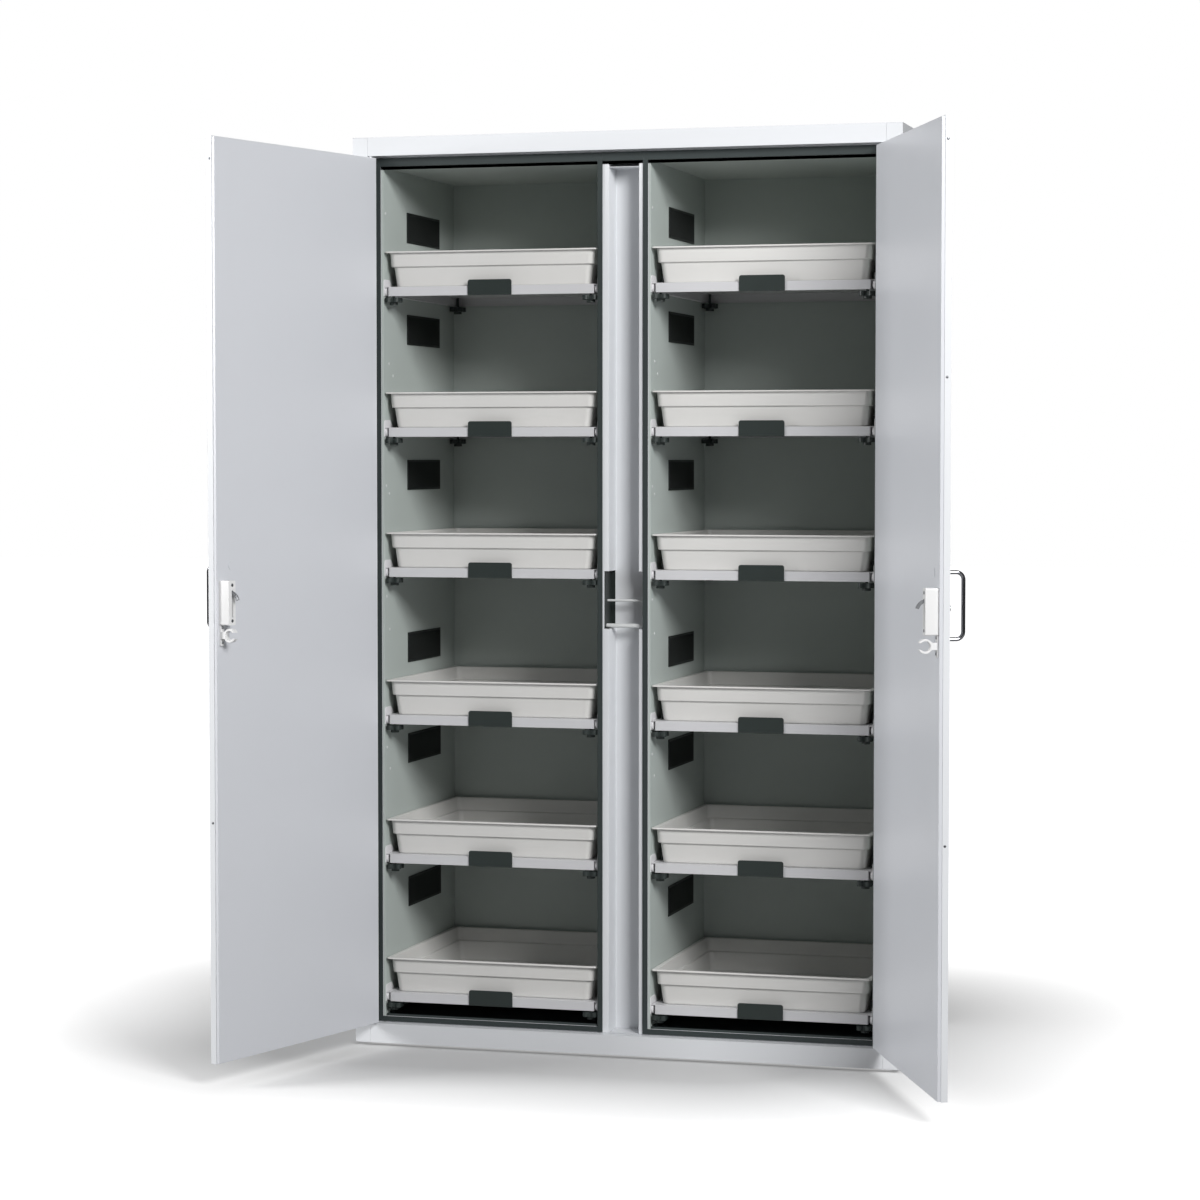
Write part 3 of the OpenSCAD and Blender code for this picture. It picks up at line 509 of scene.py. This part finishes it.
# one piece of many domed discs; toFrame lays each disc's (x, y, z) on its spot
def discsOn(name, spots, radius, height, dome, toFrame, material, body):
    x, y, z = domedDisc(radius, height, dome)
    verts, faces = ringSkin(x, y, z)
    allVerts, allFaces = [], []
    for spot in spots:
        allFaces += [[v + len(allVerts) * len(verts) for v in f] for f in faces]
        allVerts.append(toFrame(verts, spot))
    turned = np.concatenate(allVerts)
    # a mirrored or swapped axis turns the discs inside out, so their winding is put right
    a, b, c = (turned[i] for i in allFaces[0][:3])
    outward = (a + b + c) / 3 - turned[:len(verts)].mean(0)
    if np.dot(np.cross(b - a, c - a), outward) < 0:
        allFaces = [f[::-1] for f in allFaces]
    return newPiece(name, turned, allFaces, material, body)


# plugs of the unused holes in each compartment's left wall, by depth and height
wallPlugs = {"radius": 3.2, "height": 0.4, "dome": 0.8, "board": 4, "compartment": 480,
             "yz": [(40, 977), (40, 1805), (59, 904.5), (59, 1481.6), (85, 1456), (40, 1217), (59, 1200),
                    (59, 600), (40, 648)]}


def wallSpot(verts, spot):
    x, y, z = spot
    return np.stack([x + verts[:, 2], frontY + y + verts[:, 0], z + verts[:, 1]], -1)


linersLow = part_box("compartment_liners")[0]
wallX = {"left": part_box("vent_grilles")[0].x,
         "right": -(linersLow.x + wallPlugs["board"] * mm) - wallPlugs["compartment"] * mm}
for side in sides:
    spots = [(wallX[side], y * mm, z * mm) for y, z in wallPlugs["yz"]]
    discsOn(f"wall_plugs_{side}", spots, wallPlugs["radius"] * mm, wallPlugs["height"] * mm,
            wallPlugs["dome"] * mm, wallSpot, "plug", "cabinet")


# from a closed left door's millimetres, back from the front face, to where this door stands
def doorFrame(side):
    joint = joints[f"door_{side}_hinge"]
    opened = math.radians(-joint["range_deg"][0])
    pivot = np.array([-abs(joint["pos_m"][0]), joint["pos_m"][1]])
    turn = np.array([[math.cos(-opened), -math.sin(-opened)], [math.sin(-opened), math.cos(-opened)]])

    def toFrame(points):
        p = np.asarray(points, float) * mm
        flat = (p[:, :2] + [0, frontY] - pivot) @ turn.T + pivot
        if side == "right":
            flat[:, 0] *= -1
        return np.concatenate([flat, p[:, 2:]], 1)
    return toFrame


# places on a closed left door, in mm from the cabinet's middle, its front face and the floor
doorEdge = -1.5
handleCaps = {"x": -49.5, "y": 20, "reach": 12}
lockScrews = {"radius": 3.4, "height": 0.5, "dome": 0.7, "x": -19.5, "y": 46, "z": (950, 1022)}
clipScrews = {"radius": 3.0, "height": 0.6, "dome": 1.2, "x": -16.5, "y": 23, "z": (906, 936)}
edgePlugs = {"radius": 2.6, "height": 0.2, "dome": 0.6, "y": 8, "left": (1875.3, 541.1),
             "right": (1876.6, 1429.5, 540.8)}


def facingIn(toFrame):  # discs that look back into the cabinet when the door is closed
    return lambda verts, spot: toFrame(np.stack([spot[0] + verts[:, 0] / mm, spot[1] + verts[:, 2] / mm,
                                                 spot[2] + verts[:, 1] / mm], -1))


def facingEdge(toFrame):  # discs on the door's free edge
    return lambda verts, spot: toFrame(np.stack([spot[0] + verts[:, 2] / mm, spot[1] + verts[:, 0] / mm,
                                                 spot[2] + verts[:, 1] / mm], -1))


# the caps over the handle's fixings have the door's colour: the polygons within reach of them in plan
def paintCaps(side, toFrame):
    fittings = finished[f"door_{side}_lock_fittings"].data
    fittings.materials.append(materials["door_inner"])
    centres = np.array([p.center[:2] for p in fittings.polygons])
    place = toFrame([(handleCaps["x"], handleCaps["y"], 0)])[0, :2]
    near = np.linalg.norm(centres - place, axis=1) < handleCaps["reach"] * mm
    fittings.polygons.foreach_set("material_index", near.astype(np.int32))


for side in sides:
    toFrame = doorFrame(side)
    paintCaps(side, toFrame)
    body = f"door_{side}"
    for label, s, material in (("lock_screws", lockScrews, "screw"),
                               ("clip_screws", clipScrews, "hook_steel")):
        spots = [(s["x"], s["y"], z) for z in s["z"]]
        discsOn(f"{body}_{label}", spots, s["radius"] * mm, s["height"] * mm, s["dome"] * mm,
                facingIn(toFrame), material, body)
    s = edgePlugs
    spots = [(doorEdge, s["y"], z) for z in s[side]]
    discsOn(f"{body}_edge_plugs", spots, s["radius"] * mm, s["height"] * mm, s["dome"] * mm,
            facingEdge(toFrame), "screw", body)
print("fixings made")


# lengths in metres, powers in watts; the painted shade and the glow belong to the floor that the camera sees
studio = {"floorSize": 60, "floorTone": 0.55, "bounceTone": 0.35, "worldLight": 0.09,
          "shadeMiddle": (-0.2, 0.0, 0.0), "shadeHalf": (0.4, 0.3, 1.0), "shadeNear": 0.2, "shadeFar": 1.2,
          "glow": (0.03, 1.15), "under": 0.42, "underEdge": 0.03, "aim": (0, 0, 1.1)}
lamps = {"key": {"place": (3.55, -4.55, 3.75), "size": (2.0, 2.0), "power": 350},
         "fill": {"place": (-5.1, -3.1, 2.6), "size": (2.0, 2.4), "power": 275}}


def makeFloor(s):
    half = s["floorSize"] / 2
    mesh = bpy.data.meshes.new("floor")
    corners = [(-half, -half, 0), (half, -half, 0), (half, half, 0), (-half, half, 0)]
    mesh.from_pydata(corners, [], [(0, 1, 2, 3)])
    floor = bpy.data.objects.new("floor", mesh)
    bpy.context.scene.collection.objects.link(floor)
    material = bpy.data.materials.new("floor")
    material.use_nodes = True
    tree = material.node_tree
    shader = tree.nodes["Principled BSDF"]
    shader.inputs["Roughness"].default_value = 0.9
    shader.inputs["Specular IOR Level"].default_value = 0.0
    shader.inputs["Emission Color"].default_value = (1, 1, 1, 1)
    path = tree.nodes.new("ShaderNodeLightPath")
    # the camera sees a floor that glows more with the distance from the cabinet's footprint: a painted shade
    # round the cabinet that runs out into the white, distance = length of max(|place - middle| - half, 0)
    away = tree.nodes.new("ShaderNodeTexCoord").outputs["Object"]
    for operation, other in (("SUBTRACT", s["shadeMiddle"]), ("ABSOLUTE", None), ("SUBTRACT", s["shadeHalf"]),
                             ("MAXIMUM", (0, 0, 0))):
        step = tree.nodes.new("ShaderNodeVectorMath")
        step.operation = operation
        tree.links.new(away, step.inputs[0])
        if other:
            step.inputs[1].default_value = other
        away = step.outputs["Vector"]
    length = tree.nodes.new("ShaderNodeVectorMath")
    length.operation = "LENGTH"
    tree.links.new(away, length.inputs[0])
    glow = rangeNode(tree, length.outputs["Value"], s["shadeNear"], s["shadeFar"], *s["glow"])
    # under the cabinet, where it lies in shade, the floor glows for the camera with painted light, so that it
    # keeps the tone that it has in front of the plinth
    inside = tree.nodes.new("ShaderNodeVectorMath")
    inside.operation = "ABSOLUTE"
    tree.links.new(tree.nodes.new("ShaderNodeTexCoord").outputs["Object"], inside.inputs[0])
    place = tree.nodes.new("ShaderNodeSeparateXYZ")
    tree.links.new(inside.outputs["Vector"], place.inputs[0])
    inX = rangeNode(tree, place.outputs["X"], caseHigh.x - s["underEdge"], caseHigh.x, s["under"], 0.0)
    inY = rangeNode(tree, place.outputs["Y"], caseHigh.y - s["underEdge"], caseHigh.y, s["under"], 0.0)
    glow = mathNode(tree, "MAXIMUM", glow, mathNode(tree, "MINIMUM", inX, inY))
    seenGlow = mathNode(tree, "MULTIPLY", glow, path.outputs["Is Camera Ray"])
    tone = rangeNode(tree, path.outputs["Is Camera Ray"], 0.0, 1.0, s["bounceTone"], s["floorTone"])
    tree.links.new(tone, shader.inputs["Base Color"])
    tree.links.new(seenGlow, shader.inputs["Emission Strength"])
    mesh.materials.append(material)


def makeWorld(s):
    world = bpy.data.worlds.new("studio")
    bpy.context.scene.world = world
    world.use_nodes = True
    tree = world.node_tree
    background = tree.nodes["Background"]
    background.inputs["Color"].default_value = (1, 1, 1, 1)
    path = tree.nodes.new("ShaderNodeLightPath")
    strength = rangeNode(tree, path.outputs["Is Camera Ray"], 0.0, 1.0, s["worldLight"], 1.0)
    tree.links.new(strength, background.inputs["Strength"])


def areaLamp(name, place, target, size, power):
    data = bpy.data.lights.new(name, "AREA")
    data.shape = "RECTANGLE"
    data.size, data.size_y = size
    data.energy = power
    lamp = bpy.data.objects.new(name, data)
    lamp.location = place
    lamp.rotation_mode = "QUATERNION"
    lamp.rotation_quaternion = (Vector(target) - Vector(place)).to_track_quat("-Z", "Y")
    bpy.context.scene.collection.objects.link(lamp)


makeFloor(studio)
makeWorld(studio)
for name, lamp in lamps.items():
    areaLamp(name, lamp["place"], studio["aim"], lamp["size"], lamp["power"])
bpy.context.scene.view_settings.view_transform = "Standard"
print("studio made")
